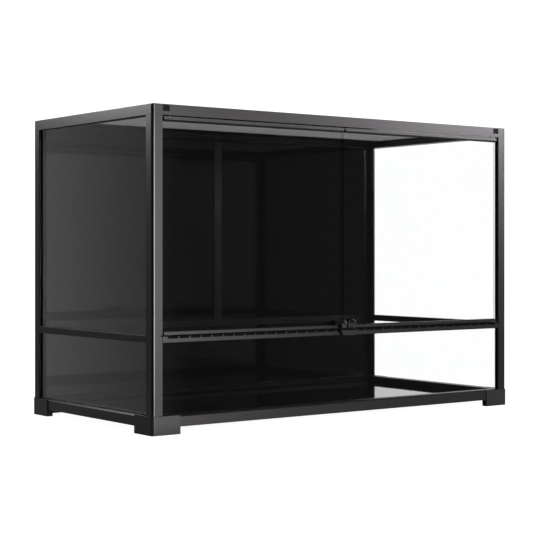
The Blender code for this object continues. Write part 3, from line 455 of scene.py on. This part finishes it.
def add_prism(bm, start, end, offsets):
    """Bar from start to end whose section corners are the given offsets."""
    rings = [[bm.verts.new(point + offset) for offset in offsets] for point in (start, end)]
    count = len(offsets)
    for i in range(count):
        j = (i + 1) % count
        bm.faces.new((rings[0][i], rings[0][j], rings[1][j], rings[1][i]))
    bm.faces.new(rings[0][::-1])
    bm.faces.new(rings[1])


def add_box(bm, low, high):
    """Box between two opposite corners."""
    low, high = Vector(low), Vector(high)
    made = bmesh.ops.create_cube(bm, size=1)
    bmesh.ops.scale(bm, verts=made["verts"], vec=high - low)
    bmesh.ops.translate(bm, verts=made["verts"], vec=(low + high) / 2)


def build_lid_mesh():
    """Two crossed layers of fine wire, gripped by the lid's bars."""
    low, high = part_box("lid_screen")
    middle_z = (low.z + high.z) / 2
    directions = (Vector((1, 0, 0)), Vector((0, 1, 0)))
    bm = bmesh.new()
    for axis, layer in ((0, -1), (1, 1)):
        across = 1 - axis
        run, side = directions[axis], directions[across]
        offsets = [
            side * WIRE_RADIUS,
            Vector((0, 0, WIRE_RADIUS)),
            -side * WIRE_RADIUS,
            Vector((0, 0, -WIRE_RADIUS)),
        ]
        count = int((high[across] - low[across]) / WIRE_PITCH)
        first = (low[across] + high[across] - (count - 1) * WIRE_PITCH) / 2
        height = Vector((0, 0, middle_z + layer * WIRE_RADIUS * LAYER_SHIFT))
        for i in range(count):
            place = side * (first + i * WIRE_PITCH) + height
            add_prism(bm, place + run * low[axis], place + run * high[axis], offsets)
    mesh = new_piece("lid_wire_mesh", bm, WIRE, "lid", smooth=True)
    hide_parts("lid_screen")


def build_lid_hem():
    """Flat hem above and below the mesh, along the inner edges of the lid's bars."""
    low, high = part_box("lid_screen")
    middle_z = (low.z + high.z) / 2
    edge_x, edge_y = -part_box("lid_bar_left")[1].x, -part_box("lid_bar_front")[1].y
    reach = edge_x - HEM_WIDTH
    bm = bmesh.new()
    for z in (middle_z - HEM_SHIFT * WIRE_RADIUS - HEM_THICKNESS, middle_z + HEM_SHIFT * WIRE_RADIUS):
        for sign in (-1, 1):
            span = sorted((sign * edge_x, sign * reach))
            add_box(bm, (span[0], -edge_y, z), (span[1], edge_y, z + HEM_THICKNESS))
            span = sorted((sign * edge_y, sign * (edge_y - HEM_WIDTH)))
            add_box(bm, (-reach, span[0], z), (reach, span[1], z + HEM_THICKNESS))
    new_piece("lid_mesh_hem", bm, METAL["x"], "lid")


def build_beads():
    """Black sealant beads in the corners between the fixed panes, the floor and the bars."""
    bm = bmesh.new()
    quarter = [math.pi / 2 * i / BEAD_STEPS for i in range(BEAD_STEPS + 1)]

    def bead(start, end, first, second, radius):
        """Hollow-faced bead along a corner line, between the directions first and second."""
        offsets = [Vector((0, 0, 0))]
        for angle in quarter:
            reach = radius * (1 - BEAD_HOLLOW * math.sin(2 * angle))
            offsets.append((first * math.cos(angle) + second * math.sin(angle)) * reach)
        add_prism(bm, start, end, offsets)

    base_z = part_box("base_rail_front")[1].z
    mid_low, mid_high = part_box("mid_rail_left")
    lower, upper = (base_z, mid_low.z), (mid_high.z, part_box("top_rail_left")[0].z)
    glass_x, glass_y = -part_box("left_lower_glass")[1].x, -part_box("front_lower_glass")[1].y
    post_x, post_y = -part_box("post_front_left")[1].x, -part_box("post_front_left")[1].y
    # Upright, along the side panes, then along the panes of front and back; the doors have none
    for sign_x in (-1, 1):
        for sign_y in (-1, 1):
            inward_x, inward_y = Vector((-sign_x, 0, 0)), Vector((0, -sign_y, 0))
            for heights in (lower, upper):
                ends = [Vector((sign_x * glass_x, sign_y * post_y, z)) for z in heights]
                bead(*ends, inward_x, inward_y, POST_BEAD)
            face_levels = (lower,) if sign_y < 0 else (lower, upper)
            for heights in face_levels:
                ends = [Vector((sign_x * post_x, sign_y * glass_y, z)) for z in heights]
                bead(*ends, inward_x, inward_y, POST_BEAD)
    # Round the floor
    floor_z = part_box("floor_panel")[1].z
    rail_x, rail_y = -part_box("base_rail_left")[1].x, -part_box("base_rail_front")[1].y
    for sign in (-1, 1):
        ends = [Vector((end * rail_x, sign * rail_y, floor_z)) for end in (-1, 1)]
        bead(*ends, Vector((0, -sign, 0)), Vector((0, 0, 1)), FLOOR_BEAD)
        ends = [Vector((sign * rail_x, end * rail_y, floor_z)) for end in (-1, 1)]
        bead(*ends, Vector((-sign, 0, 0)), Vector((0, 0, 1)), FLOOR_BEAD)
    new_piece("sealant_beads", bm, SEALANT, "frame", smooth=True)


def build_door_seals():
    """Black rubber lips between each door's glass and the strip at its head."""
    for side in ("left", "right"):
        strip_low, strip_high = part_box(f"{side}_door_head_strip")
        glass_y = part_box(f"{side}_door_glass")[0].y
        offsets = [
            Vector((0, strip_low.y + SEAL_INSET, 0)),
            Vector((0, strip_low.y + SEAL_INSET, -SEAL_HEIGHT * SEAL_FRONT_SHARE)),
            Vector((0, strip_low.y + SEAL_INSET * 2, -SEAL_HEIGHT)),
            Vector((0, glass_y, -SEAL_HEIGHT)),
            Vector((0, glass_y, 0)),
        ]
        bm = bmesh.new()
        z = strip_low.z
        add_prism(bm, Vector((strip_low.x, 0, z)), Vector((strip_high.x, 0, z)), offsets)
        new_piece(f"{side}_door_seal", bm, SEALANT, f"{side}_door")


def build_sill_shade_strips():
    """Matt black strips along the middle rail's upper edge, under the doors, and along the keeper's: painted
    shade for the gap beneath the doors, and a lip over the rail's top.
    """
    rail_low, rail_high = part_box("mid_rail_front")
    keeper_low, keeper_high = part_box("lock_keeper")
    bm = bmesh.new()

    def strip(left, right, front, top, height):
        """A thin dark strip with a chamfered lower edge against a front face, painted shade for the gap under
        the doors.
        """
        offsets = [
            Vector((0, front, top)),
            Vector((0, front - SILL_STRIP_THICKNESS, top)),
            Vector((0, front - SILL_STRIP_THICKNESS, top - height + SILL_STRIP_THICKNESS)),
            Vector((0, front, top - height)),
        ]
        add_prism(bm, Vector((left, 0, 0)), Vector((right, 0, 0)), offsets)

    def lip(left, right):
        """The part that turns over the rail's top, with chamfered edges."""
        low_y, z = rail_low.y - SILL_STRIP_THICKNESS, rail_high.z
        offsets = [
            Vector((0, low_y, z)),
            Vector((0, low_y + SILL_STRIP_THICKNESS / 2, z + SILL_STRIP_THICKNESS)),
            Vector((0, low_y + SILL_LIP_DEPTH - SILL_STRIP_THICKNESS, z + SILL_STRIP_THICKNESS)),
            Vector((0, low_y + SILL_LIP_DEPTH, z)),
        ]
        add_prism(bm, Vector((left, 0, 0)), Vector((right, 0, 0)), offsets)

    # Left and right of the keeper: the dark strip of painted shade, and the lip, which stays clear of the
    # hinge pins at the rail's ends
    for left, right, inset in (
        (rail_low.x, keeper_low.x - SILL_STRIP_GAP, (SILL_LIP_END, 0)),
        (keeper_high.x + SILL_STRIP_GAP, rail_high.x, (0, SILL_LIP_END)),
    ):
        strip(left, right, rail_low.y, rail_high.z, GAP_SHADE_HEIGHT)
        lip(left + inset[0], right - inset[1])
    # The keeper's dark band is painted shade too, for the gap under the doors
    strip(keeper_low.x + SILL_STRIP_GAP, keeper_high.x - SILL_STRIP_GAP, keeper_low.y, keeper_high.z, KEEPER_SHADE_BAND)
    new_piece("sill_shade_strips", bm, SILL_SHADE_RUBBER, "frame")


def build_lock_bezel():
    """Chrome bezel in two arcs over the top of the lock's round face, with a raised rim."""
    case_low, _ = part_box("lock_case")
    barrel_low, barrel_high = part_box("lock_barrel")
    centre = (barrel_low + barrel_high) / 2
    profile = (
        (BEZEL_INNER, 0.0),
        (BEZEL_INNER + BEZEL_CHAMFER, -BEZEL_RISE * BEZEL_SHOULDER_SHARE),
        ((BEZEL_INNER + BEZEL_OUTER) / 2, -BEZEL_RISE),
        (BEZEL_OUTER - BEZEL_CHAMFER, -BEZEL_RISE * BEZEL_SHOULDER_SHARE),
        (BEZEL_OUTER, 0.0),
    )
    count = len(profile)
    bm = bmesh.new()
    for start, end in BEZEL_ARCS:
        rings = []
        for i in range(BEZEL_STEPS + 1):
            angle = math.radians(start + (end - start) * i / BEZEL_STEPS)
            across, up = math.cos(angle), math.sin(angle)
            points = [(centre.x + r * across, case_low.y + rise, centre.z + r * up) for r, rise in profile]
            rings.append([bm.verts.new(point) for point in points])
        for ring, following in zip(rings, rings[1:]):
            for j in range(count):
                k = (j + 1) % count
                bm.faces.new((ring[j], ring[k], following[k], following[j]))
        bm.faces.new(rings[0])
        bm.faces.new(rings[-1][::-1])
    new_piece("lock_bezel", bm, CHROME, "right_door", smooth=True)


def build_lock_pads():
    """Satin studded pads on the black lock: one on the pull's leg, one round the lower half of the barrel."""
    case_low, case_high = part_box("lock_case")
    barrel_low, barrel_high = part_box("lock_barrel")
    centre = (barrel_low + barrel_high) / 2
    low_z = case_low.z + PAD_MARGIN
    rows = round((centre.z + PAD_TOP - low_z) / PAD_CELL)
    cell_z = (centre.z + PAD_TOP - low_z) / rows

    def tile(bm, x, z, cell_x):
        """One cell of the pad: a four-sided stud whose foot meets its neighbours'."""
        rings = [
            [
                bm.verts.new((x + i * size * cell_x, case_low.y - rise, z + j * size * cell_z))
                for i, j in ((-1, -1), (1, -1), (1, 1), (-1, 1))
            ]
            for size, rise in ((0.5, 0), (0.5, PAD_RISE / 2), (STUD_TOP, PAD_RISE))
        ]
        for lower, upper in zip(rings, rings[1:]):
            for i in range(4):
                j = (i + 1) % 4
                bm.faces.new((lower[i], lower[j], upper[j], upper[i]))
        bm.faces.new(rings[0][::-1])
        bm.faces.new(rings[-1])

    def pad(name, body, left, right, keep):
        """Rows of tiles between left and right, where keep allows one."""
        columns = round((right - left) / PAD_CELL)
        cell_x = (right - left) / columns
        bm = bmesh.new()
        for i in range(columns):
            for j in range(rows):
                x, z = left + (i + 0.5) * cell_x, low_z + (j + 0.5) * cell_z
                if keep(math.hypot(x - centre.x, z - centre.z)):
                    tile(bm, x, z, cell_x)
        new_piece(name, bm, PAD_PLASTIC, body)

    inner = (barrel_high.x - barrel_low.x) / 2 + PAD_CELL * PAD_BORDER
    outer = (case_high.x - case_low.x) / 2 - PAD_CELL * PAD_BORDER
    leg_left, leg_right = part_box("lock_keeper")[0].x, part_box("left_door_pull")[1].x
    pad("pull_pad", "left_door", leg_left + PAD_MARGIN, leg_right - PAD_MARGIN, lambda reach: reach > inner)
    pad("lock_pad", "right_door", case_low.x, case_high.x, lambda reach: inner < reach < outer)


def build_pull_tick():
    """Small bent chrome bar at the top of the pull's leg."""
    case_low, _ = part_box("lock_case")
    barrel_low, barrel_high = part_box("lock_barrel")
    centre_z = (barrel_low.z + barrel_high.z) / 2
    half = TICK_WIDTH / 2
    rise = Vector((0, -TICK_RISE, 0))
    bm = bmesh.new()
    for (x0, z0), (x1, z1) in zip(TICK_CORNERS, TICK_CORNERS[1:]):
        start = Vector((x0, case_low.y, centre_z + z0))
        end = Vector((x1, case_low.y, centre_z + z1))
        side = (end - start).normalized().cross(Vector((0, 1, 0))) * half
        add_prism(bm, start, end, [side, side * 0.5 + rise, -side * 0.5 + rise, -side])
    new_piece("pull_tick", bm, CHROME, "left_door")


def build_bolt_grips():
    """Three low ribs across the face of each lid bolt, for a fingertip."""
    offsets = [
        Vector((0, 0, GRIP_HALF)),
        Vector((0, -GRIP_RISE, GRIP_TOP_HALF)),
        Vector((0, -GRIP_RISE, -GRIP_TOP_HALF)),
        Vector((0, 0, -GRIP_HALF)),
    ]
    for side in ("left", "right"):
        low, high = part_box(f"lid_bolt_{side}")
        bm = bmesh.new()
        for i in (-1, 0, 1):
            z = (low.z + high.z) / 2 + i * GRIP_PITCH
            start = Vector((low.x + GRIP_INSET, low.y, z))
            end = Vector((high.x - GRIP_INSET, low.y, z))
            add_prism(bm, start, end, offsets)
        new_piece(f"lid_bolt_grip_{side}", bm, MATT_PLASTIC, f"lid_bolt_{side}", smooth=True)


def build_stage():
    """Pale floor that shows white to the camera and keeps the part's soft shadow."""
    bm = bmesh.new()
    half_x, half_y = cad_high.x + FLOOR_MARGIN, cad_high.y + FLOOR_MARGIN
    outline = ((-half_x, -half_y), (half_x, -half_y), (half_x, half_y), (-half_x, half_y))
    corners = [bm.verts.new((x, y, -FLOOR_DROP)) for x, y in outline]
    bm.faces.new(corners)
    mesh = bpy.data.meshes.new("studio_floor")
    bm.to_mesh(mesh)
    bm.free()
    floor = bpy.data.objects.new("studio_floor", mesh)
    bpy.context.scene.collection.objects.link(floor)
    material, tree, shader = new_material("studio_floor")
    output = tree.nodes["Material Output"]
    shader.inputs["Base Color"].default_value = (*grey(FLOOR_GREY), 1.0)
    shader.inputs["Roughness"].default_value = 0.9
    glow = add_node(tree, "ShaderNodeEmission")
    light_path = add_node(tree, "ShaderNodeLightPath")
    level = add_node(tree, "ShaderNodeMath", operation="MULTIPLY")
    level.inputs[1].default_value = FLOOR_GLOW
    tree.links.new(light_path.outputs["Is Camera Ray"], level.inputs[0])
    tree.links.new(level.outputs["Value"], glow.inputs["Strength"])
    total = add_node(tree, "ShaderNodeAddShader")
    tree.links.new(glow.outputs["Emission"], total.inputs[0])
    tree.links.new(shader.outputs["BSDF"], total.inputs[1])
    tree.links.new(total.outputs["Shader"], output.inputs["Surface"])
    mesh.materials.append(material)


def build_world():
    """Surroundings that look different to the camera, to gloss and to matt surfaces.

    The camera sees white, also through clear panes. Gloss mirrors white behind the part and a dim room
    ahead of it. Matt surfaces get one even soft level.
    """
    world = bpy.data.worlds.new("studio")
    bpy.context.scene.world = world
    world.use_nodes = True
    tree = world.node_tree
    back = tree.nodes["Background"]
    back.inputs["Color"].default_value = (1.0, 1.0, 1.0, 1.0)
    place = add_node(tree, "ShaderNodeTexCoord")
    split = add_node(tree, "ShaderNodeSeparateXYZ")
    tree.links.new(place.outputs["Generated"], split.inputs["Vector"])

    def band(output, low, high, to_low, to_high):
        """Goes smoothly from to_low to to_high while a direction's X, Y or Z goes from low to high."""
        node = add_node(tree, "ShaderNodeMapRange", interpolation_type="SMOOTHSTEP")
        node.inputs["From Min"].default_value = low
        node.inputs["From Max"].default_value = high
        node.inputs["To Min"].default_value = to_low
        node.inputs["To Max"].default_value = to_high
        tree.links.new(split.outputs[output], node.inputs["Value"])
        return node.outputs["Result"]

    def combine(first, second, operation):
        """Joins two levels by an operation of the Math node."""
        node = add_node(tree, "ShaderNodeMath", operation=operation)
        tree.links.new(first, node.inputs[0])
        tree.links.new(second, node.inputs[1])
        return node.outputs["Value"]

    # A belt round the horizon
    belt = combine(band("Z", -0.22, -0.12, 0.0, 1.0), band("Z", 0.12, 0.22, 1.0, 0.0), "MULTIPLY")
    # Behind the part: a dim patch in that belt for the left panes, and white from the middle to the right
    patch = combine(band("X", -0.55, -0.42, 0.17, 0.35), band("X", -0.45, -0.3, 1.0, 0.0), "MULTIPLY")
    across = combine(combine(belt, patch, "MULTIPLY"), band("X", -0.3, 0.2, 0.0, 1.0), "MAXIMUM")
    behind = combine(across, band("Y", -0.1, 0.35, 0.0, 1.0), "MULTIPLY")
    # Ahead of it: a narrow window in that belt, whose mirror image lies at the left of the front
    window = combine(band("X", 0.34, 0.40, 0.0, 1.0), band("X", 0.46, 0.56, 0.55, 0.0), "MULTIPLY")
    ahead = combine(combine(belt, window, "MULTIPLY"), band("Y", -0.3, 0.0, 1.0, 0.0), "MULTIPLY")
    # Everywhere: almost black, and a little lighter to the right
    gloss = combine(combine(behind, ahead, "ADD"), band("X", 0.4, 0.7, 0.01, 0.06), "ADD")

    # Gloss or the matt level, and over both of them the backdrop where the camera sees the surroundings
    path = add_node(tree, "ShaderNodeLightPath")
    matt = add_node(tree, "ShaderNodeMix", data_type="FLOAT")
    matt.inputs["A"].default_value = MATT_LEVEL
    tree.links.new(path.outputs["Is Glossy Ray"], matt.inputs["Factor"])
    tree.links.new(gloss, matt.inputs["B"])
    seen = combine(path.outputs["Is Camera Ray"], path.outputs["Is Transmission Ray"], "MAXIMUM")
    final = add_node(tree, "ShaderNodeMix", data_type="FLOAT")
    final.inputs["B"].default_value = BACKDROP
    tree.links.new(seen, final.inputs["Factor"])
    tree.links.new(matt.outputs["Result"], final.inputs["A"])
    tree.links.new(final.outputs["Result"], back.inputs["Strength"])


def keep_off_panes():
    """A light-linking set that keeps every lamp's mirror image out of the panes and the glossy walls."""
    unlit = bpy.data.collections.new("panes")
    for node in nodes.values():
        if node.data.materials[0] in (BLACK_GLASS, GLASS_X, GLASS_Y):
            unlit.objects.link(node)
    for member in unlit.collection_objects:
        member.light_linking.link_state = "EXCLUDE"
    return unlit


def add_area_light(name, place, aim, size, power, unlit):
    """Rectangular lamp at place that faces the point aim and doesn't light the members of unlit."""
    light = bpy.data.lights.new(name, "AREA")
    light.shape = "RECTANGLE"
    light.size, light.size_y = size
    light.energy = power
    lamp = bpy.data.objects.new(name, light)
    lamp.location = place
    lamp.rotation_euler = (Vector(aim) - Vector(place)).to_track_quat("-Z", "Y").to_euler()
    lamp.visible_camera = False
    lamp.light_linking.receiver_collection = unlit
    bpy.context.scene.collection.objects.link(lamp)


def build_lights():
    """Two lamps for the right of the front, one for its left, one for the left side, one for the top."""
    # Name, place, point aimed at, width and height, watts
    lamps = (
        ("key_right_front", (1.68, -1.4, 1.05), (0.4, -0.22, 0.55), (0.6, 0.5), 22.0),
        ("low_right_front", (1.95, -1.2, 0.65), (0.45, -0.22, 0.35), (0.3, 0.6), 3.0),
        ("far_front", (0.35, -3.15, 0.3), (-0.45, -0.22, 0.3), (1.0, 1.2), 76.0),
        ("key_left_back", (-0.98, 0.9, 0.94), (-0.46, 0.0, 0.6), (0.35, 0.3), 6.6),
        ("overhead_back", (0.0, 0.9, 1.6), (0.0, 0.0, 0.6), (1.2, 0.6), 18.0),
    )
    unlit = keep_off_panes()
    for lamp in lamps:
        add_area_light(*lamp, unlit)


def build_camera():
    """Level camera at the photograph's viewpoint, its horizon set by the lens's shift."""
    camera = bpy.data.cameras.new("camera")
    camera.sensor_width = SENSOR_WIDTH
    camera.lens = FOCAL_PIXELS / IMAGE_PIXELS * SENSOR_WIDTH
    camera.shift_y = (HORIZON_PIXEL - IMAGE_PIXELS / 2) / IMAGE_PIXELS
    camera.clip_start = CLIP_NEAR
    camera.clip_end = CLIP_FAR
    holder = bpy.data.objects.new("camera", camera)
    holder.location = CAMERA_PLACE
    holder.rotation_euler = (math.radians(90), 0, math.radians(CAMERA_YAW))
    bpy.context.scene.collection.objects.link(holder)
    bpy.context.scene.camera = holder


build_lid_mesh()
build_lid_hem()
build_beads()
build_door_seals()
build_sill_shade_strips()
build_lock_bezel()
build_lock_pads()
build_pull_tick()
build_bolt_grips()
build_stage()
build_world()
build_lights()
build_camera()
bpy.context.scene.view_settings.view_transform = "Standard"
